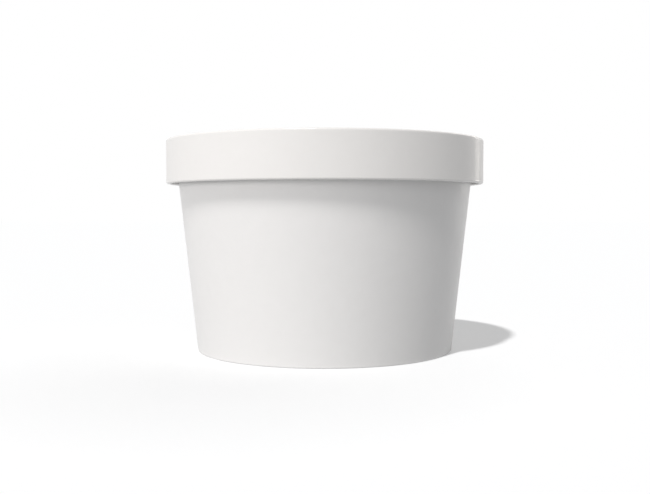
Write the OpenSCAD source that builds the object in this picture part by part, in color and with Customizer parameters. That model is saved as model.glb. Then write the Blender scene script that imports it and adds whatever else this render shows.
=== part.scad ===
// Round paper food bucket with a push-on paper lid.
// Each of its four pieces is a sheet of board, bent, folded or rolled at its edges.

/* [Bucket] */
// Height from the table to the top of the rolled rim
bucket_h = 74.2; // [60:0.2:110]
// Outside diameter of the wall at the table
foot_d = 97; // [84:0.5:106]
// Outside diameter of the wall at the height of the rim's top
mouth_d = 113.2; // [106:0.2:136]
// Thickness of the wall's board
wall_board = 0.45; // [0.3:0.05:0.6]
// Radius of the rolled rim, to the outside of the roll
rim_roll_r = 1.2; // [0.9:0.05:1.8]
// How far round the rim is rolled, in degrees
rim_roll_turn = 300; // [180:5:300]

/* [Base] */
// Height of the floor's upper face above the table
floor_z = 9.6; // [6:0.2:16]
// Thickness of the base's board
base_board = 0.4; // [0.3:0.05:0.6]
// Radius of the bend from the floor down to its skirt, to the outside
base_bend_r = 0.9; // [0.7:0.05:1.6]
// Clear height between the wall's folded-in edge and the bend of the base
fold_gap = 0.4; // [0.2:0.1:1.5]
// Clear height between the foot's fold and the lower edge of the base's skirt
skirt_gap = 0.2; // [0.1:0.05:1]

/* [Lid] */
// Depth of the lid's skirt below the underside of its top
skirt_depth = 11.7; // [8:0.1:18]
// Height of the crown above the upper face of the top
crown_h = 4.4; // [3:0.1:7]
// Thickness of the band's board
band_board = 0.45; // [0.3:0.05:0.6]
// Thickness of the top's board
top_board = 0.4; // [0.3:0.05:0.6]
// Radius of the bend from the top up to its flange, to the outside
top_bend_r = 0.9; // [0.7:0.05:1.3]
// Clear height between the crown's bend and the upper edge of the flange
flange_gap = 0.1; // [0.1:0.05:0.8]
// Radius of each turn of the rolled hem, to the outside of the roll
hem_roll_r = 0.7; // [0.65:0.05:1.2]
// Height of the rolled hem
hem_h = 2.6; // [2.5:0.1:4]

/* [Fits] */
// Clearance round the rim as the hem of the lid slides over it
lid_clearance = 0.2; // [0.1:0.05:1]
// Clearance between the top of the rim and the underside of the lid
seat_clearance = 0.2; // [0.1:0.05:0.6]
// Thickness of a sealed joint between two layers of board
seal = 0.05; // [0.03:0.01:0.1]
// Inside radius of a fold that is pressed tight
crease = 0.05; // [0.03:0.01:0.15]

/* [Side seams] */
// Width of the overlap where the wall's two ends are sealed together
wall_lap = 9; // [6:0.5:14]
// Width of the overlap in the lid's band
band_lap = 8; // [5:0.5:12]
// Width over which the outer layer runs down off the end of the inner one
lap_run = 1.5; // [1:0.1:3]
// Direction of the wall's seam, in degrees from +X
wall_seam_at = 90; // [0:5:355]
// Direction of the band's seam, in degrees from +X
band_seam_at = 55; // [0:5:355]

/* [Hidden] */
$fn = 180;

// Degrees of a bend that one flat of its outline covers
bend_step = 10;
// What a seam's edge stays short of the full board, so that its layers meet cleanly
feather = 0.02;

wall_white = [0.93, 0.93, 0.92];
lid_white = [0.95, 0.94, 0.93];

// The wall leans out by this angle
lean = atan2((mouth_d - foot_d) / 2, bucket_h);

// Outer radius of the foot's two turns, which are pressed tight
wall_fold_r = wall_board + crease;

// Three layers are pressed together at the foot, and three at the crown, which turns over them in one
foot_layers = 2 * wall_board + base_board + 2 * seal;
crown_layers = 2 * band_board + top_board + 2 * seal;
crown_bend_r = crown_layers / 2;

// Radius of the surface that lies inset below the wall's outside, at height z
function wall_r(z, inset = 0) = foot_d / 2 + z * tan(lean) - inset / cos(lean);

// Centre of the rolled rim, whose roll is tangent to the wall's inside
rim_z = bucket_h - rim_roll_r;
rim_r = wall_r(rim_z, wall_board) + rim_roll_r / cos(lean);
rim_out_r = rim_r + rim_roll_r;

fold_top_z = floor_z - base_bend_r - fold_gap;
base_skirt_z = wall_board + skirt_gap;

// The lid is built outwards from the rim that it slides over
lid_r = rim_out_r + lid_clearance + 2 * hem_roll_r;
top_under_z = bucket_h + seat_clearance;
top_z = top_under_z + top_board;
crown_z = top_z + crown_h;
hem_z = top_under_z - skirt_depth;
flange_r = lid_r - band_board - seal;
flange_z = crown_z - crown_bend_r - flange_gap;

// Points along an arc, one each bend_step degrees or less
function arc(centre, r, from, to) =
    let (n = max(1, ceil(abs(to - from) / bend_step)))
    [for (i = [0:n]) let (a = from + (to - from) * i / n) centre + r * [cos(a), sin(a)]];

// A bend in a board: its centre, its outer radius, the directions in which it starts and ends, and
// the face that lies on its outer radius, which is 1 for the board's outside and -1 for its inside
function bend(centre, outer_r, from, to, face = 1) = [centre, outer_r, from, to, face];

// A cut edge of a board: the middle of its thickness, and the direction in which the outside faces
function edge(middle, facing) = [middle, 0, facing, facing, 1];

// One face of a board that follows bends and edges, side 1 for its outside and -1 for its inside
function face_line(path, board, side) = [
    for (b = path)
        let (middle_r = b[1] == 0 ? 0 : b[1] - board / 2, r = middle_r + b[4] * side * board / 2)
        each (b[2] == b[3] ? [b[0] + r * [cos(b[2]), sin(b[2])]] : arc(b[0], r, b[2], b[3]))
];

function reversed(list) = [for (i = [len(list) - 1:-1:0]) list[i]];

// A board turned about the axis, with the bends and edges of path in its section
module turned_board(path, board) {
    rotate_extrude()
        polygon(concat(face_line(path, board, 1), reversed(face_line(path, board, -1))));
}

// Carries a flat outline from low to high along a straight wall, with x facing out of the wall
module along_wall(low, high, at) {
    rise = high - low;
    rotate([0, 0, at])
        translate([low.x, 0, low.y])
            rotate([0, atan2(rise.x, rise.y), 0])
                linear_extrude(height = norm(rise))
                    children();
}

// The outer layer of a side seam: low and high are the ends of a line on the wall's outside
module outer_lap(low, high, board, width, at) {
    up = (high - low) / norm(high - low);
    out = [up.y, -up.x];
    turn = width / ((low.x + high.x) / 2) * 180 / PI;
    middle = out * board / 2;
    rotate([0, 0, at - turn])
        rotate_extrude(angle = turn)
            polygon([
                low - middle,
                low,
                low + (up + out) * board,
                high + (out - up) * board,
                high,
                high - middle
            ]);
    step = board - feather;
    along_wall(low + up * board, high - up * board, at)
        polygon([[-step / 2, -lap_run / 4], [step / 2, -lap_run / 4], [step, 0], [-step / 2, lap_run * 1.5]]);
}

// The hollow that the outer layer leaves as it runs down off the inner layer's cut edge
module inner_step(low, high, board, at) {
    step = board - feather;
    along_wall(low, high, at)
        polygon([[-step, 0], [step, 0], [-step, lap_run * 2]]);
}

// Side wall: rolled out at the rim, and folded in and up under the base at the foot
module bucket_wall() {
    fold_in = -180 - lean;
    foot_path = [
        bend([rim_r, rim_z], rim_roll_r, 180 - lean - rim_roll_turn, 180 - lean, -1),
        bend([wall_r(wall_fold_r, wall_fold_r), wall_fold_r], wall_fold_r, -lean, -90),
        bend([wall_r(wall_fold_r, foot_layers - wall_fold_r), wall_fold_r], wall_fold_r, -90, fold_in),
        edge([wall_r(fold_top_z, foot_layers - wall_board / 2), fold_top_z], fold_in)
    ];
    lap_low_z = 2 * wall_fold_r;
    lap_high_z = bucket_h - 2 * rim_roll_r - wall_board;
    step_low_z = floor_z - base_board;
    step_high_z = rim_z;
    color(wall_white)
        difference() {
            union() {
                turned_board(foot_path, wall_board);
                outer_lap(
                    [wall_r(lap_low_z), lap_low_z],
                    [wall_r(lap_high_z), lap_high_z],
                    wall_board, wall_lap, wall_seam_at
                );
            }
            inner_step(
                [wall_r(step_low_z, wall_board), step_low_z],
                [wall_r(step_high_z, wall_board), step_high_z],
                wall_board, wall_seam_at
            );
        }
}

// Base: a round floor with its edge bent down into a skirt, which the foot's fold grips
module bucket_base() {
    skirt_inset = wall_board + seal;
    bend_z = floor_z - base_bend_r;
    base_path = [
        edge([0, floor_z - base_board / 2], 90),
        bend([wall_r(bend_z, skirt_inset + base_bend_r), bend_z], base_bend_r, 90, -lean),
        edge([wall_r(base_skirt_z, skirt_inset + base_board / 2), base_skirt_z], -lean)
    ];
    color(wall_white)
        turned_board(base_path, base_board);
}

// Band of the lid: its upper edge turned in over the flange of the top, its lower edge rolled in
module lid_band() {
    grip_z = top_z + top_bend_r - top_board + seal;
    hem_r = lid_r - hem_roll_r;
    band_path = [
        edge([lid_r - crown_layers + band_board / 2, grip_z], 180),
        bend([lid_r - crown_bend_r, crown_z - crown_bend_r], crown_bend_r, 180, 0),
        bend([hem_r, hem_z + hem_roll_r], hem_roll_r, 0, -180),
        bend([hem_r, hem_z + hem_h - hem_roll_r], hem_roll_r, -180, -270)
    ];
    inside_r = lid_r - band_board;
    color(lid_white)
        difference() {
            union() {
                turned_board(band_path, band_board);
                outer_lap(
                    [lid_r, hem_z + hem_roll_r],
                    [lid_r, crown_z - crown_bend_r],
                    band_board, band_lap, band_seam_at
                );
            }
            inner_step(
                [inside_r, hem_z + hem_h],
                [inside_r, top_under_z],
                band_board, band_seam_at
            );
        }
}

// Top of the lid: a round sheet with its edge bent up into a flange, which the crown grips
module lid_top() {
    top_path = [
        edge([0, top_under_z + top_board / 2], -90),
        bend([flange_r - top_bend_r, top_under_z + top_bend_r], top_bend_r, -90, 0),
        edge([flange_r - top_board / 2, flange_z], 0)
    ];
    color(lid_white)
        turned_board(top_path, top_board);
}

bucket_wall();
bucket_base();
lid_band();
lid_top();
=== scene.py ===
"""Paper food bucket with its push-on lid, dressed as white coated paperboard on a white floor.

Every sheet of board is wound from its own section: bends, folds and cut edges, with the lapped side seam.
Sizes are metres and angles are degrees, except where a name ends in _rad.
"""

import math

import bmesh
import bpy
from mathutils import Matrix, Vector


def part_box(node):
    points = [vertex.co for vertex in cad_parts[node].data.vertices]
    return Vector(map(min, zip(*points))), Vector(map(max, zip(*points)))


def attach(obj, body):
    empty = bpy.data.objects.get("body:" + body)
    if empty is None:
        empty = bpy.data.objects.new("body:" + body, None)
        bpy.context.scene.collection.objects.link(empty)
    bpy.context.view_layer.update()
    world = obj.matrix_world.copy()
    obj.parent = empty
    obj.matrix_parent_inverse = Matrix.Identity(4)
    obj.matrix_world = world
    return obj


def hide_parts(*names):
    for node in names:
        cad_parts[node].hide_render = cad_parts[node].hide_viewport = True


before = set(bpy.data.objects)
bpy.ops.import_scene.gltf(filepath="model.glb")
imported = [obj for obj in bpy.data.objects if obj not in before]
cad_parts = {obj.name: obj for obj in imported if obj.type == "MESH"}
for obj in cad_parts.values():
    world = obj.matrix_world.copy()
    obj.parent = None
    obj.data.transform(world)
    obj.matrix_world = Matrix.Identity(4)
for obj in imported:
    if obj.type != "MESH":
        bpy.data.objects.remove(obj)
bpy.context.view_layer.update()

WALL_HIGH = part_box("bucket_wall")[1]
BASE_LOW, BASE_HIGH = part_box("bucket_base")
BAND_LOW, BAND_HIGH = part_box("lid_band")
TOP_LOW, TOP_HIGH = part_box("lid_top")

# Board and glue
WALL_BOARD = 0.00045
BASE_BOARD = 0.0004
BAND_BOARD = 0.00045
TOP_BOARD = 0.0004
SEAL = 0.00005
CREASE = 0.00005

# Bucket
FOOT_R = 0.0485
MOUTH_R = 0.0566
BUCKET_H = WALL_HIGH.z
RIM_ROLL_R = 0.0012
RIM_ROLL_TURN = 300
FLOOR_Z = BASE_HIGH.z
BASE_BEND_R = 0.0009
FOLD_GAP = 0.0004
WALL_LAP = 0.009
WALL_SEAM_AT = 90

# Lid
LID_R = BAND_HIGH.x
CROWN_Z = BAND_HIGH.z
HEM_Z = BAND_LOW.z
HEM_ROLL_R = 0.0007
HEM_H = 0.0026
TOP_UNDER_Z = TOP_LOW.z
TOP_BEND_R = 0.0009
BAND_LAP = 0.008
BAND_SEAM_AT = 55

# Three layers are pressed together at the foot, and three at the crown
FOOT_LAYERS = 2 * WALL_BOARD + BASE_BOARD + 2 * SEAL
FOLD_TOP_Z = FLOOR_Z - BASE_BEND_R - FOLD_GAP
CROWN_LAYERS = 2 * BAND_BOARD + TOP_BOARD + 2 * SEAL
CROWN_BEND_R = CROWN_LAYERS / 2

# The run where a seam's outer layer comes down, in so many steps, the width that its cut end takes up,
# and what the step on the other side stays short of the full board
LAP_RUN = 0.0015
LAP_RUN_STEPS = 6
CUT_WIDTH = 0.00003
FEATHER = 0.00002

# How finely the sheets are meshed: along a bend, along a straight stretch and round the axis
BEND_STEP = 9
STRAIGHT_STEP = 0.006
WIND_STEP = 1.25

# A mesh edge is drawn sharp from this angle on, and what lies nearer the axis than this is on it
SHARP_FROM = 35
ON_AXIS = 1e-9

# Where a sheet keeps its three finishes
OUTSIDE, INSIDE, CUT = 0, 1, 2

# How soon a seam fades out towards a bend, how soon the strain of a bend is gone, and the length from
# which a straight stretch gets points for both
FADE = 0.0012
RELAX = 0.00025
LONG_STRETCH = 4 * FADE


def smooth(low, high, value):
    """0 below low, 1 above high, and an S-curve between them."""
    t = min(1.0, max(0.0, (value - low) / (high - low)))
    return t * t * (3 - 2 * t)


# The wall leans out by this angle, and so a level distance into it is longer than one square to it
LEAN = math.degrees(math.atan((MOUTH_R - FOOT_R) / BUCKET_H))
ACROSS = math.cos(math.radians(LEAN))


def wall_r(z, inset=0.0):
    """Radius, at height z, of the face that lies inset below the wall's outside."""
    return FOOT_R + z * (MOUTH_R - FOOT_R) / BUCKET_H - inset / ACROSS


# A sheet's section


def bend(centre, outer_r, start, end, face=1):
    """A bend of a board, turning from one direction to another; face is -1 where the inside is outermost."""
    return {"centre": centre, "radius": outer_r, "start": start, "end": end, "face": face}


def edge(middle, facing):
    """A cut edge, or the middle of a disc: the middle of the board, and where its outside faces."""
    return {"centre": middle, "radius": None, "start": facing, "end": facing, "face": 1}


def face_line(path, board, side):
    """Points along one face of a board, as (r, z, normal r, normal z, bent), side 1 outside and -1 inside."""
    line = []
    for turn in path:
        middle_r = 0.0 if turn["radius"] is None else turn["radius"] - board / 2
        out = turn["face"] * side
        reach = middle_r + out * board / 2
        count = max(1, math.ceil(abs(turn["end"] - turn["start"]) / BEND_STEP))
        steps = range(count + 1) if turn["radius"] is not None else [0]
        for step in steps:
            angle = math.radians(turn["start"] + (turn["end"] - turn["start"]) * step / count)
            outwards, upwards = math.cos(angle), math.sin(angle)
            bent = 1.0 if turn["radius"] is not None else 0.0
            place = (turn["centre"][0] + reach * outwards, turn["centre"][1] + reach * upwards)
            line.append((*place, out * outwards, out * upwards, bent))
    return fill_straights(line)


def fill_straights(line):
    """Adds points along the straight stretches, so that the seam can start and end on them."""
    filled = [line[0]]
    for before, after in zip(line, line[1:]):
        length = math.hypot(after[0] - before[0], after[1] - before[1])
        count = max(1, math.ceil(length / STRAIGHT_STEP))
        ends = [RELAX, FADE, length - FADE, length - RELAX] if length > LONG_STRETCH else []
        shares = sorted({k / count for k in range(1, count)} | {e / length for e in ends})
        for share in shares:
            point = [a + (b - a) * share for a, b in zip(before[:4], after[:4])]
            filled.append((*point, 0.0))
        filled.append(after)
    return filled


# A sheet wound round the axis


def plain_columns():
    """Directions round the axis for a sheet with no seam, as (angle, lap, groove)."""
    count = round(360 / WIND_STEP)
    return [(360 * k / count, 0.0, 0.0) for k in range(count)]


def spread(low, high, step):
    """Even values from low up to, but without, high, at most a step apart."""
    count = max(1, math.ceil((high - low) / step))
    return [low + (high - low) * k / count for k in range(count)]


def seam_columns(at, lap, radius):
    """Directions round the axis for a lapped sheet. The outer layer ends at the lap's far side, and beyond
    the inner layer's own end it runs down to take the inner layer's place."""
    degree = math.radians(1) * radius
    turn, run, cut = lap / degree, LAP_RUN / degree, CUT_WIDTH / degree
    columns = [(a, 0.0, 0.0) for a in spread(at + run, at + 360 - turn - cut, WIND_STEP)]
    columns.append((at - turn - cut, 0.0, 0.0))
    columns += [(a, 1.0, 0.0) for a in spread(at - turn, at, WIND_STEP)]
    columns.append((at, 1.0, 0.0))
    for a in spread(at + cut, at + run, run / LAP_RUN_STEPS):
        down = 1 - smooth(at + cut, at + run, a)
        columns.append((a, down, down))
    return columns


def ring_round(mesh, point, side, board, columns, shown):
    """Carries one point of a section round the axis; the seam pushes it out or in as far as it is shown."""
    r, z, normal_r, normal_z, is_bent = point
    bent = mesh.verts.layers.float["bent"]
    if r < ON_AXIS:
        ring = [mesh.verts.new((0, 0, z))]
    else:
        ring = []
        for angle, lap, groove in columns:
            push = shown * (board * lap if side == 1 else (FEATHER - board) * groove)
            turned, far = math.radians(angle), r + push * normal_r
            place = (far * math.cos(turned), far * math.sin(turned), z + push * normal_z)
            ring.append(mesh.verts.new(place))
    for vert in ring:
        vert[bent] = is_bent
    return ring


def join_rings(mesh, ring, following, columns, finish, seam_shows):
    """Makes the faces between two rings. A face that stands across a seam's step is bare board."""
    turns = len(columns)
    push_at = 2 if finish == INSIDE else 1
    for j in range(turns):
        i = (j + 1) % turns
        corners = [ring[j % len(ring)], ring[i % len(ring)],
                   following[i % len(following)], following[j % len(following)]]
        face = mesh.faces.new(list(dict.fromkeys(corners)))
        across_step = abs(columns[j][push_at] - columns[i][push_at]) > 0.5
        face.material_index = CUT if across_step and seam_shows else finish
        face.smooth = True


def put_in_scene(name, data):
    """A new object that holds the data, in the scene's own collection."""
    thing = bpy.data.objects.new(name, data)
    bpy.context.scene.collection.objects.link(thing)
    return thing


def keep_sheet(name, mesh, finishes):
    """Turns the wound shell into an object, with sharp edges where the board is cut."""
    bmesh.ops.recalc_face_normals(mesh, faces=mesh.faces)
    for line in mesh.edges:
        if line.is_manifold and math.degrees(line.calc_face_angle(0)) > SHARP_FROM:
            line.smooth = False
    data = bpy.data.meshes.new(name)
    mesh.to_mesh(data)
    mesh.free()
    for finish in finishes:
        data.materials.append(finish)
    return put_in_scene(name, data)


def wind_sheet(name, path, board, columns, window, finishes):
    """Winds a board's section round the axis into one closed shell.

    window(r, z, normal r, normal z, side) is how far the seam shows at a point, from 0 to 1.
    finishes are the materials of the outside, the inside and the cut edges."""
    outside = face_line(path, board, 1)
    inside = face_line(path, board, -1)
    loop = [(point, 1) for point in outside] + [(point, -1) for point in reversed(inside)]
    starts_on_axis = outside[0][0] < ON_AXIS
    cut_after = {len(outside) - 1} if starts_on_axis else {len(outside) - 1, len(loop) - 1}
    mesh = bmesh.new()
    mesh.verts.layers.float.new("bent")
    shown = [window(*point[:4], side) for point, side in loop]
    rings = [ring_round(mesh, point, side, board, columns, shown[k]) for k, (point, side) in enumerate(loop)]
    for k, ring in enumerate(rings):
        following = rings[(k + 1) % len(rings)]
        if len(ring) == 1 and len(following) == 1:
            continue
        finish = CUT if k in cut_after else (OUTSIDE if k < len(outside) - 1 else INSIDE)
        join_rings(mesh, ring, following, columns, finish, shown[k] > 0.5)
    return keep_sheet(name, mesh, finishes)


# Finishes

# Places of the Mix node's sockets for colours
MIX_FIRST, MIX_SECOND, MIX_RESULT = 6, 7, 2

# The coat on a bend, the swing in roughness, and the fibres' share and height in the relief
BURNISHED = 0.45
ROUGHNESS_SWING = 0.04
FIBRE_SHARE = 0.35
FIBRE_HEIGHT = 0.00011
CUT_FIBRE_HEIGHT = 0.00006


def srgb(red, green, blue):
    """A colour as it looks on screen, turned into the linear values that the shader takes."""
    def linear(c):
        return c / 12.92 if c <= 0.04045 else ((c + 0.055) / 1.055) ** 2.4
    return (linear(red), linear(green), linear(blue), 1.0)


def group_tree(name, inputs, outputs):
    """A shader node group with named inputs and outputs, and its two end nodes."""
    tree = bpy.data.node_groups.new(name, "ShaderNodeTree")
    for label, kind, value in inputs:
        socket = tree.interface.new_socket(label, in_out="INPUT", socket_type=kind)
        socket.default_value = value
    for label, kind in outputs:
        tree.interface.new_socket(label, in_out="OUTPUT", socket_type=kind)
    return tree, tree.nodes.new("NodeGroupInput"), tree.nodes.new("NodeGroupOutput")


def add(tree, kind, **values):
    """A node with its sockets or settings set by name."""
    node = tree.nodes.new(kind)
    for key, value in values.items():
        label = key.replace("_", " ")
        if label in node.inputs:
            node.inputs[label].default_value = value
        else:
            setattr(node, key, value)
    return node


def fibre_formation():
    """The cloudy make-up of a pressed fibre sheet: soft flocs, and fine fibres that lie across them."""
    tree, given, result = group_tree(
        "fibre_formation",
        [("Floc Scale", "NodeSocketFloat", 240.0), ("Fibre Scale", "NodeSocketFloat", 2600.0)],
        [("Flocs", "NodeSocketFloat"), ("Fibres", "NodeSocketFloat")],
    )
    place = add(tree, "ShaderNodeTexCoord")
    flocs = add(tree, "ShaderNodeTexNoise", Detail=4.0, Roughness=0.6)
    fibres = add(tree, "ShaderNodeTexNoise", Detail=3.0, Roughness=0.7, Distortion=1.4)
    for node, scale, out in ((flocs, "Floc Scale", "Flocs"), (fibres, "Fibre Scale", "Fibres")):
        tree.links.new(place.outputs["Object"], node.inputs["Vector"])
        tree.links.new(given.outputs[scale], node.inputs["Scale"])
        tree.links.new(node.outputs["Fac"], result.inputs[out])
    return tree


def fold_strain():
    """Where a bend has stretched the coating: a mask, broken up along the fold."""
    tree, given, result = group_tree(
        "fold_strain",
        [("Grain Scale", "NodeSocketFloat", 1800.0), ("Amount", "NodeSocketFloat", 0.6)],
        [("Strain", "NodeSocketFloat")],
    )
    place = add(tree, "ShaderNodeTexCoord")
    bent = add(tree, "ShaderNodeAttribute", attribute_name="bent")
    grain = add(tree, "ShaderNodeTexNoise", Detail=2.0, Roughness=0.5)
    broken = add(tree, "ShaderNodeMapRange", From_Min=0.35, From_Max=0.7)
    masked = add(tree, "ShaderNodeMath", operation="MULTIPLY")
    scaled = add(tree, "ShaderNodeMath", operation="MULTIPLY")
    tree.links.new(place.outputs["Object"], grain.inputs["Vector"])
    tree.links.new(given.outputs["Grain Scale"], grain.inputs["Scale"])
    tree.links.new(grain.outputs["Fac"], broken.inputs["Value"])
    tree.links.new(broken.outputs["Result"], masked.inputs[0])
    tree.links.new(bent.outputs["Fac"], masked.inputs[1])
    tree.links.new(masked.outputs["Value"], scaled.inputs[0])
    tree.links.new(given.outputs["Amount"], scaled.inputs[1])
    tree.links.new(scaled.outputs["Value"], result.inputs["Strain"])
    return tree


def blend(tree, factor, first, second):
    """Goes from a first colour, or another node's output, to a second as factor goes from 0 to 1."""
    mix = add(tree, "ShaderNodeMix", data_type="RGBA")
    if isinstance(first, bpy.types.NodeSocket):
        tree.links.new(first, mix.inputs[MIX_FIRST])
    else:
        mix.inputs[MIX_FIRST].default_value = first
    mix.inputs[MIX_SECOND].default_value = second
    tree.links.new(factor, mix.inputs["Factor"])
    return mix.outputs[MIX_RESULT]


def place_group(tree, group, **values):
    """A node that stands for a shader node group, with its inputs set by name."""
    node = tree.nodes.new("ShaderNodeGroup")
    node.node_tree = group
    for key, value in values.items():
        node.inputs[key.replace("_", " ")].default_value = value
    return node


def board_finish(name, colour, cloud, strained, specular, roughness, coat, coat_roughness, relief):
    """White coated board: colour clouded by its fibres, a faint fibre relief, and a satin coat that the
    rolling tools have burnished on the bends."""
    material = bpy.data.materials.new(name)
    material.use_nodes = True
    tree = material.node_tree
    shader = tree.nodes["Principled BSDF"]
    shader.inputs["Coat Roughness"].default_value = coat_roughness
    shader.inputs["Specular IOR Level"].default_value = specular
    formation = place_group(tree, FORMATION)
    strain = place_group(tree, STRAIN)
    clouded = blend(tree, formation.outputs["Flocs"], colour, cloud)
    creased = blend(tree, strain.outputs["Strain"], clouded, strained)
    tree.links.new(creased, shader.inputs["Base Color"])
    bent = add(tree, "ShaderNodeAttribute", attribute_name="bent")
    burnished = add(tree, "ShaderNodeMapRange", To_Min=coat, To_Max=BURNISHED)
    tree.links.new(bent.outputs["Fac"], burnished.inputs["Value"])
    tree.links.new(burnished.outputs["Result"], shader.inputs["Coat Weight"])
    sheen = add(tree, "ShaderNodeMapRange", From_Min=0.3, From_Max=0.7,
                To_Min=roughness - ROUGHNESS_SWING, To_Max=roughness + ROUGHNESS_SWING)
    tree.links.new(formation.outputs["Flocs"], sheen.inputs["Value"])
    tree.links.new(sheen.outputs["Result"], shader.inputs["Roughness"])
    height = add(tree, "ShaderNodeMath", operation="MULTIPLY_ADD")
    height.inputs[1].default_value = FIBRE_SHARE
    tree.links.new(formation.outputs["Fibres"], height.inputs[0])
    tree.links.new(formation.outputs["Flocs"], height.inputs[2])
    bump = add(tree, "ShaderNodeBump", Strength=relief, Distance=FIBRE_HEIGHT)
    tree.links.new(height.outputs["Value"], bump.inputs["Height"])
    tree.links.new(bump.outputs["Normal"], shader.inputs["Normal"])
    return material


def cut_finish(name, colour, fleck):
    """Bare fibre, as on the edge of a cut board: duller and creamier than the coated faces."""
    material = bpy.data.materials.new(name)
    material.use_nodes = True
    tree = material.node_tree
    shader = tree.nodes["Principled BSDF"]
    shader.inputs["Roughness"].default_value = 0.9
    formation = place_group(tree, FORMATION, Floc_Scale=900.0, Fibre_Scale=5200.0)
    flecked = blend(tree, formation.outputs["Fibres"], colour, fleck)
    tree.links.new(flecked, shader.inputs["Base Color"])
    bump = add(tree, "ShaderNodeBump", Strength=0.5, Distance=CUT_FIBRE_HEIGHT)
    tree.links.new(formation.outputs["Fibres"], bump.inputs["Height"])
    tree.links.new(bump.outputs["Normal"], shader.inputs["Normal"])
    return material


FORMATION = fibre_formation()
STRAIN = fold_strain()
BUCKET_WHITE = srgb(0.938, 0.936, 0.935)
LID_WHITE = srgb(0.935, 0.931, 0.926)
STRAIN_WHITE = srgb(0.96, 0.955, 0.945)
bucket_outside = board_finish(
    "bucket_coated_board", BUCKET_WHITE, cloud=srgb(0.928, 0.926, 0.924), strained=STRAIN_WHITE,
    specular=0.12, roughness=0.42, coat=0.09, coat_roughness=0.2, relief=0.7)
bucket_lining = board_finish(
    "bucket_lined_board", BUCKET_WHITE, cloud=srgb(0.928, 0.925, 0.921), strained=STRAIN_WHITE,
    specular=0.5, roughness=0.32, coat=0.35, coat_roughness=0.1, relief=0.6)
lid_outside = board_finish(
    "lid_coated_board", LID_WHITE, cloud=srgb(0.927, 0.922, 0.917), strained=STRAIN_WHITE,
    specular=0.1, roughness=0.42, coat=0.12, coat_roughness=0.1, relief=0.6)
lid_lining = board_finish(
    "lid_lined_board", LID_WHITE, cloud=srgb(0.927, 0.921, 0.914), strained=STRAIN_WHITE,
    specular=0.5, roughness=0.32, coat=0.35, coat_roughness=0.1, relief=0.6)
raw_edge = cut_finish("raw_board_edge", colour=srgb(0.9, 0.885, 0.85), fleck=srgb(0.84, 0.81, 0.75))


# The four sheets

# How far a face's normal points outwards where the seam starts to show, and where it shows fully
WALL_FACING = (0.5, 0.9)
BAND_FACING = (0.6, 0.95)
# The same for where the rolled rim has turned outwards and the wall's step is gone
RIM_FACING = (-0.5, 0.5)
# Height at which the wall's lap starts
LAP_LOW_Z = 0.0004


def no_seam(r, z, normal_r, normal_z, side):
    """For a round sheet cut in one piece, where no seam shows anywhere."""
    return 0.0


def wall_seam(r, z, normal_r, normal_z, side):
    """Outside, the lap shows from the foot to the rolled rim. Inside, the step goes on over the rim."""
    if side == 1:
        top = BUCKET_H - 2 * RIM_ROLL_R
        facing = smooth(*WALL_FACING, normal_r)
        return facing * smooth(LAP_LOW_Z, LAP_LOW_Z + FADE, z) * (1 - smooth(top - FADE, top, z))
    over_rim = 1 - smooth(*RIM_FACING, normal_r)
    return over_rim * smooth(FLOOR_Z - FADE, FLOOR_Z, z)


def band_seam(r, z, normal_r, normal_z, side):
    """The lap shows between the hem and the crown, and its step inside the skirt."""
    if side == 1:
        facing = smooth(*BAND_FACING, normal_r)
        return facing * smooth(HEM_Z + HEM_ROLL_R / 2, HEM_Z + HEM_ROLL_R + FADE, z) * (
            1 - smooth(CROWN_Z - HEM_ROLL_R - FADE, CROWN_Z - HEM_ROLL_R / 2, z))
    facing = smooth(*BAND_FACING, -normal_r)
    near_wall = smooth(LID_R - 3 * BAND_BOARD, LID_R - 2 * BAND_BOARD, r)
    return facing * near_wall * smooth(HEM_Z + HEM_H, HEM_Z + HEM_H + FADE, z) * (
        1 - smooth(TOP_UNDER_Z - FADE, TOP_UNDER_Z, z))


def wall_sheet():
    """Side wall: rolled out at the rim, folded in and up under the base at the foot."""
    fold_r = WALL_BOARD + CREASE
    rim_z = BUCKET_H - RIM_ROLL_R
    rim_r = wall_r(rim_z, WALL_BOARD) + RIM_ROLL_R / ACROSS
    fold_in = -180 - LEAN
    path = [
        bend((rim_r, rim_z), RIM_ROLL_R, 180 - LEAN - RIM_ROLL_TURN, 180 - LEAN, -1),
        bend((wall_r(fold_r, fold_r), fold_r), fold_r, -LEAN, -90),
        bend((wall_r(fold_r, FOOT_LAYERS - fold_r), fold_r), fold_r, -90, fold_in),
        edge((wall_r(FOLD_TOP_Z, FOOT_LAYERS - WALL_BOARD / 2), FOLD_TOP_Z), fold_in),
    ]
    columns = seam_columns(WALL_SEAM_AT, WALL_LAP, (FOOT_R + MOUTH_R) / 2)
    return wind_sheet("wall_sheet", path, WALL_BOARD, columns, wall_seam,
                      [bucket_outside, bucket_lining, raw_edge])


def base_sheet():
    """Base: a round floor whose edge is bent down into a skirt."""
    inset = WALL_BOARD + SEAL
    bend_z = FLOOR_Z - BASE_BEND_R
    skirt_z = BASE_LOW.z
    path = [
        edge((0.0, FLOOR_Z - BASE_BOARD / 2), 90),
        bend((wall_r(bend_z, inset + BASE_BEND_R), bend_z), BASE_BEND_R, 90, -LEAN),
        edge((wall_r(skirt_z, inset + BASE_BOARD / 2), skirt_z), -LEAN),
    ]
    return wind_sheet("base_sheet", path, BASE_BOARD, plain_columns(), no_seam,
                      [bucket_lining, bucket_outside, raw_edge])


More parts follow.
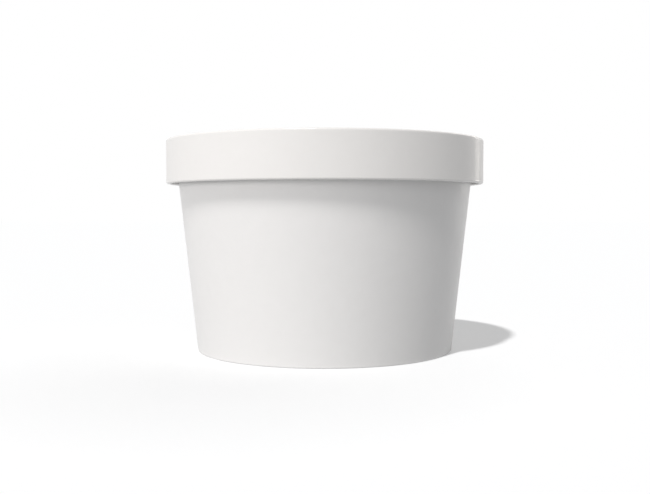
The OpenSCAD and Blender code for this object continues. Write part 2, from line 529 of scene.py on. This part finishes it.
def lid_band_sheet():
    """Band of the lid: crown turned over the top's flange, hem rolled in at the lower edge."""
    grip_z = TOP_UNDER_Z + TOP_BEND_R + SEAL
    hem_r = LID_R - HEM_ROLL_R
    path = [
        edge((LID_R - CROWN_LAYERS + BAND_BOARD / 2, grip_z), 180),
        bend((LID_R - CROWN_BEND_R, CROWN_Z - CROWN_BEND_R), CROWN_BEND_R, 180, 0),
        bend((hem_r, HEM_Z + HEM_ROLL_R), HEM_ROLL_R, 0, -180),
        bend((hem_r, HEM_Z + HEM_H - HEM_ROLL_R), HEM_ROLL_R, -180, -270),
    ]
    columns = seam_columns(BAND_SEAM_AT, BAND_LAP, LID_R)
    return wind_sheet("lid_band_sheet", path, BAND_BOARD, columns, band_seam,
                      [lid_outside, lid_lining, raw_edge])


def lid_top_sheet():
    """Top of the lid: a round sheet whose edge is bent up into a flange inside the crown."""
    flange_r = LID_R - BAND_BOARD - SEAL
    path = [
        edge((0.0, TOP_UNDER_Z + TOP_BOARD / 2), -90),
        bend((flange_r - TOP_BEND_R, TOP_UNDER_Z + TOP_BEND_R), TOP_BEND_R, -90, 0),
        edge((flange_r - TOP_BOARD / 2, TOP_HIGH.z), 0),
    ]
    return wind_sheet("lid_top_sheet", path, TOP_BOARD, plain_columns(), no_seam,
                      [lid_lining, lid_outside, raw_edge])


# The ribs that a toothed wheel presses into a fold to lock it

RIB_PITCH = 0.0014
RIB_WIDTH = 0.0008
RIB_RELIEF = 0.00009
# The share of the fold's height that the ribs take up
FOOT_RIB_SHARE = 0.62
CROWN_RIB_SHARE = 0.8


def rib_ring_tree():
    """Geometry Nodes: low rounded ribs spaced evenly round a leaning ring."""
    tree = bpy.data.node_groups.new("pressed_rib_ring", "GeometryNodeTree")
    sockets = [
        ("Ring Radius", "NodeSocketFloat"), ("Ring Height", "NodeSocketFloat"),
        ("Rib Count", "NodeSocketInt"), ("Rib Width", "NodeSocketFloat"), ("Rib Length", "NodeSocketFloat"),
        ("Relief", "NodeSocketFloat"), ("Lean", "NodeSocketFloat"), ("Finish", "NodeSocketMaterial"),
    ]
    for label, kind in sockets:
        tree.interface.new_socket(label, in_out="INPUT", socket_type=kind)
    tree.interface.new_socket("Ribs", in_out="OUTPUT", socket_type="NodeSocketGeometry")
    given, result = tree.nodes.new("NodeGroupInput"), tree.nodes.new("NodeGroupOutput")
    link = tree.links.new
    rib = add(tree, "GeometryNodeMeshUVSphere", Segments=8, Rings=6, Radius=0.5)
    rounded = add(tree, "GeometryNodeSetShadeSmooth")
    size = add(tree, "ShaderNodeCombineXYZ")
    doubled = add(tree, "ShaderNodeMath", operation="MULTIPLY")
    doubled.inputs[1].default_value = 2.0
    tilt = add(tree, "ShaderNodeCombineXYZ")
    turn = add(tree, "FunctionNodeEulerToRotation")
    shaped = add(tree, "GeometryNodeTransform")
    tilted = add(tree, "GeometryNodeTransform")
    ring = add(tree, "GeometryNodeMeshCircle", fill_type="NONE")
    lift = add(tree, "ShaderNodeCombineXYZ")
    raised = add(tree, "GeometryNodeTransform")
    where = add(tree, "GeometryNodeInputPosition")
    level = add(tree, "ShaderNodeVectorMath", operation="MULTIPLY")
    level.inputs[1].default_value = (1, 1, 0)
    outward = add(tree, "FunctionNodeAlignRotationToVector", axis="X", pivot_axis="Z")
    set_out = add(tree, "GeometryNodeInstanceOnPoints")
    realized = add(tree, "GeometryNodeRealizeInstances")
    painted = add(tree, "GeometryNodeSetMaterial")
    link(rib.outputs["Mesh"], rounded.inputs["Geometry"])
    link(rounded.outputs["Geometry"], shaped.inputs["Geometry"])
    link(given.outputs["Relief"], doubled.inputs[0])
    link(doubled.outputs["Value"], size.inputs["X"])
    link(given.outputs["Rib Width"], size.inputs["Y"])
    link(given.outputs["Rib Length"], size.inputs["Z"])
    link(size.outputs["Vector"], shaped.inputs["Scale"])
    link(given.outputs["Lean"], tilt.inputs["Y"])
    link(tilt.outputs["Vector"], turn.inputs["Euler"])
    link(shaped.outputs["Geometry"], tilted.inputs["Geometry"])
    link(turn.outputs["Rotation"], tilted.inputs["Rotation"])
    link(given.outputs["Rib Count"], ring.inputs["Vertices"])
    link(given.outputs["Ring Radius"], ring.inputs["Radius"])
    link(ring.outputs["Mesh"], raised.inputs["Geometry"])
    link(given.outputs["Ring Height"], lift.inputs["Z"])
    link(lift.outputs["Vector"], raised.inputs["Translation"])
    link(where.outputs["Position"], level.inputs[0])
    link(level.outputs["Vector"], outward.inputs["Vector"])
    link(raised.outputs["Geometry"], set_out.inputs["Points"])
    link(tilted.outputs["Geometry"], set_out.inputs["Instance"])
    link(outward.outputs["Rotation"], set_out.inputs["Rotation"])
    link(set_out.outputs["Instances"], realized.inputs["Geometry"])
    link(realized.outputs["Geometry"], painted.inputs["Geometry"])
    link(given.outputs["Finish"], painted.inputs["Material"])
    link(painted.outputs["Geometry"], result.inputs["Ribs"])
    return tree


def rib_ring(name, tree, radius, height, length, lean, finish):
    """Runs the rib tree once and keeps its result as a plain mesh."""
    holder = put_in_scene(name + "_maker", bpy.data.meshes.new(name + "_maker"))
    maker = holder.modifiers.new("ribs", "NODES")
    maker.node_group = tree
    values = {
        "Ring Radius": radius, "Ring Height": height, "Rib Count": round(2 * math.pi * radius / RIB_PITCH),
        "Rib Width": RIB_WIDTH, "Rib Length": length, "Relief": RIB_RELIEF, "Lean": math.radians(lean),
        "Finish": finish,
    }
    for item in tree.interface.items_tree:
        if item.in_out == "INPUT":
            maker[item.identifier] = values[item.name]
    bpy.context.view_layer.update()
    evaluated = holder.evaluated_get(bpy.context.evaluated_depsgraph_get())
    data = bpy.data.meshes.new_from_object(evaluated)
    data.name = name
    holder.modifiers.remove(maker)
    bpy.data.objects.remove(holder)
    return put_in_scene(name, data)


def foot_ribs(tree):
    """Ribs on the side of the foot's fold that faces the axis."""
    height = FOLD_TOP_Z / 2
    radius = wall_r(height, FOOT_LAYERS)
    return rib_ring("foot_ribs", tree, radius, height, FOOT_RIB_SHARE * FOLD_TOP_Z, LEAN, bucket_outside)


def crown_ribs(tree):
    """Ribs on the side of the crown that faces the lid's sunken top."""
    low = TOP_UNDER_Z + TOP_BEND_R
    high = CROWN_Z - CROWN_BEND_R
    length = CROWN_RIB_SHARE * (high - low)
    return rib_ring("crown_ribs", tree, LID_R - CROWN_LAYERS, (low + high) / 2, length, 0, lid_outside)


def dress(piece, body, slot, *nodes):
    """Puts a piece on its body and hides the nodes that it stands for. The slot is not used."""
    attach(piece, body)
    if nodes:
        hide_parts(*nodes)


RIB_TREE = rib_ring_tree()
dress(wall_sheet(), "bucket", "bucket_board", "bucket_wall")
dress(base_sheet(), "bucket", "bucket_board", "bucket_base")
dress(foot_ribs(RIB_TREE), "bucket", "bucket_board")
dress(lid_band_sheet(), "lid", "lid_board", "lid_band")
dress(lid_top_sheet(), "lid", "lid_board", "lid_top")
dress(crown_ribs(RIB_TREE), "lid", "lid_board")


# Floor, light and camera

FLOOR_SIZE = 8.0
FLOOR_DROP = 0.00005

# The light that the floor throws back on the object, brighter in a narrow ring at the foot
FLOOR_BOUNCE = (0.5, 0.5, 0.5)
FOOT_BOUNCE = (0.85, 0.85, 0.85)
FOOT_BOUNCE_REACH = 0.0006

# The floor as it is seen: painted shade greys it round a spot in front of the object, and it is lifted evenly
FLOOR_NEAR_SHADE = (0.73, 0.73, 0.73)
FLOOR_FAR = (0.846, 0.846, 0.846)
FLOOR_SHADE_SPOT = (-0.03, -0.06, 0)
FLOOR_NEAR_REACH = 0.02
FLOOR_FAR_REACH = 0.1
FLOOR_LIFT = 0.228

# Lights: places are azimuth, elevation and distance, and sizes are width and height
WARM = (1.0, 0.975, 0.955)
WARMER = (1.0, 0.95, 0.89)
KEY_PLACE = (24, 56, 2)
KEY_STRENGTH = 1.7
KEY_SPREAD = 16
FLOOR_KEY_STRENGTH = 2.03
FLOOR_KEY_SPREAD = 2.6
PANEL_PLACE = (47, 4, 1.0)
PANEL_SIZE = (0.8, 0.7)
PANEL_STRENGTH = 6.3
STRIP_PLACE = (-136, 26, 0.9)
STRIP_SIZE = (0.18, 0.8)
STRIP_STRENGTH = 1.5
SKY_COLOUR = (0.985, 0.99, 1.0)
SKY_STRENGTH = 0.375

# Where the photo's camera stands, how many degrees it looks down, and its lens and sensor in millimetres
CAMERA_PLACE = (0.00008, -0.3479, 0.0525)
CAMERA_DOWN = 2.26
CAMERA_LENS = 50
CAMERA_SENSOR = 36
CAMERA_NEAREST = 0.01


def looked_at(tree):
    """1 where a surface is seen, straight, mirrored or through glass, and 0 where it only throws light."""
    path = add(tree, "ShaderNodeLightPath")
    mirrored = add(tree, "ShaderNodeMath", operation="MAXIMUM")
    either = add(tree, "ShaderNodeMath", operation="MAXIMUM")
    tree.links.new(path.outputs["Is Glossy Ray"], mirrored.inputs[0])
    tree.links.new(path.outputs["Is Transmission Ray"], mirrored.inputs[1])
    tree.links.new(path.outputs["Is Camera Ray"], either.inputs[0])
    tree.links.new(mirrored.outputs["Value"], either.inputs[1])
    return either.outputs["Value"]


def graded(tree, distance, near, far, near_colour, far_colour):
    """A colour that goes from near_colour to far_colour as a distance grows from near to far."""
    share = add(tree, "ShaderNodeMapRange", From_Min=near, From_Max=far)
    tree.links.new(distance.outputs["Value"], share.inputs["Value"])
    return blend(tree, share.outputs["Result"], (*near_colour, 1), (*far_colour, 1))


def white_floor():
    """A white floor that takes the object's shadow, with one look when seen and another for its light; the
    seen look has painted shade round a spot in front of the object.
    """
    data = bpy.data.meshes.new("floor")
    half = FLOOR_SIZE / 2
    corners = [(-half, -half), (half, -half), (half, half), (-half, half)]
    data.from_pydata([(x, y, -FLOOR_DROP) for x, y in corners], [], [(0, 1, 2, 3)])
    floor = put_in_scene("floor", data)
    material = bpy.data.materials.new("white_floor")
    material.use_nodes = True
    tree = material.node_tree
    lighting = tree.nodes["Principled BSDF"]
    lighting.inputs["Roughness"].default_value = 1.0
    lighting.inputs["Specular IOR Level"].default_value = 0.0
    seen = add(tree, "ShaderNodeBsdfPrincipled", Roughness=1.0)
    seen.inputs["Specular IOR Level"].default_value = 0.0
    seen.inputs["Emission Color"].default_value = (1, 1, 1, 1)
    seen.inputs["Emission Strength"].default_value = FLOOR_LIFT
    place = add(tree, "ShaderNodeTexCoord")
    from_shade_spot = add(tree, "ShaderNodeVectorMath", operation="DISTANCE")
    from_shade_spot.inputs[1].default_value = FLOOR_SHADE_SPOT
    from_axis = add(tree, "ShaderNodeVectorMath", operation="LENGTH")
    for distance in (from_shade_spot, from_axis):
        tree.links.new(place.outputs["Object"], distance.inputs[0])
    # Painted shade: the seen floor is greyer near a spot in front of the object and fades to its plain white
    # farther off
    shade = graded(tree, from_shade_spot, FLOOR_NEAR_REACH, FLOOR_FAR_REACH, FLOOR_NEAR_SHADE, FLOOR_FAR)
    tree.links.new(shade, seen.inputs["Base Color"])
    bounce = graded(tree, from_axis, FOOT_R, FOOT_R + FOOT_BOUNCE_REACH, FOOT_BOUNCE, FLOOR_BOUNCE)
    tree.links.new(bounce, lighting.inputs["Base Color"])
    mix = add(tree, "ShaderNodeMixShader")
    tree.links.new(looked_at(tree), mix.inputs["Fac"])
    tree.links.new(lighting.outputs["BSDF"], mix.inputs[1])
    tree.links.new(seen.outputs["BSDF"], mix.inputs[2])
    tree.links.new(mix.outputs["Shader"], tree.nodes["Material Output"].inputs["Surface"])
    data.materials.append(material)
    return floor


def white_surroundings():
    """Even light from all round, which the camera and the gloss see as white."""
    world = bpy.data.worlds.new("white_surroundings")
    bpy.context.scene.world = world
    world.use_nodes = True
    tree = world.node_tree
    tree.nodes.clear()
    light = add(tree, "ShaderNodeBackground", Color=(*SKY_COLOUR, 1), Strength=SKY_STRENGTH)
    white = add(tree, "ShaderNodeBackground", Color=(1, 1, 1, 1), Strength=1.0)
    mix = add(tree, "ShaderNodeMixShader")
    result = add(tree, "ShaderNodeOutputWorld")
    tree.links.new(looked_at(tree), mix.inputs["Fac"])
    tree.links.new(light.outputs["Background"], mix.inputs[1])
    tree.links.new(white.outputs["Background"], mix.inputs[2])
    tree.links.new(mix.outputs["Shader"], result.inputs["Surface"])


def from_azimuth(azimuth, elevation, distance):
    """A place seen from the object: azimuth 0 is towards the camera and 90 to the camera's left."""
    turn_rad, rise_rad = math.radians(azimuth), math.radians(elevation)
    level = math.cos(rise_rad)
    return Vector((-math.sin(turn_rad) * level, -math.cos(turn_rad) * level, math.sin(rise_rad))) * distance


def add_light(name, kind, place, target, **settings):
    """A light that the camera doesn't see, turned towards its target."""
    data = bpy.data.lights.new(name, kind)
    for key, value in settings.items():
        setattr(data, key, value)
    light = put_in_scene(name, data)
    light.location = place
    light.rotation_euler = (target - place).to_track_quat("-Z", "Y").to_euler()
    light.visible_camera = False
    return light


def only_lights(light, floor, state):
    """Makes a light reach the floor alone (INCLUDE), or everything but the floor (EXCLUDE)."""
    lit = bpy.data.collections.new(light.name + "_reaches")
    lit.objects.link(floor)
    lit.collection_objects[0].light_linking.link_state = state
    light.light_linking.receiver_collection = lit


def studio_lights(floor):
    """A soft key, with a harder twin that draws the shadow on the floor, a panel on the left, and a strip
    behind on the right."""
    middle = Vector((0, 0, BUCKET_H / 2))
    foot = Vector((0, 0, 0))
    above = from_azimuth(*KEY_PLACE)
    key = add_light("key", "SUN", above, foot,
                    energy=KEY_STRENGTH, angle=math.radians(KEY_SPREAD), color=WARM)
    floor_key = add_light("floor_key", "SUN", above, foot,
                          energy=FLOOR_KEY_STRENGTH, angle=math.radians(FLOOR_KEY_SPREAD))
    only_lights(key, floor, "EXCLUDE")
    only_lights(floor_key, floor, "INCLUDE")
    panel = add_light("left_panel", "AREA", from_azimuth(*PANEL_PLACE), middle, shape="RECTANGLE",
                      size=PANEL_SIZE[0], size_y=PANEL_SIZE[1], energy=PANEL_STRENGTH, color=WARM)
    strip = add_light("right_strip", "AREA", from_azimuth(*STRIP_PLACE), middle, shape="RECTANGLE",
                      size=STRIP_SIZE[0], size_y=STRIP_SIZE[1], energy=STRIP_STRENGTH, color=WARMER)
    panel.visible_glossy = False
    only_lights(panel, floor, "EXCLUDE")
    only_lights(strip, floor, "EXCLUDE")


def photo_camera():
    """The camera that sees the object as the photo shows it."""
    data = bpy.data.cameras.new("photo_camera")
    data.lens = CAMERA_LENS
    data.sensor_width = CAMERA_SENSOR
    data.clip_start = CAMERA_NEAREST
    camera = put_in_scene("photo_camera", data)
    camera.location = CAMERA_PLACE
    camera.rotation_euler = (math.radians(90 - CAMERA_DOWN), 0, 0)
    bpy.context.scene.camera = camera


studio_lights(white_floor())
white_surroundings()
photo_camera()
bpy.context.scene.view_settings.view_transform = "Standard"
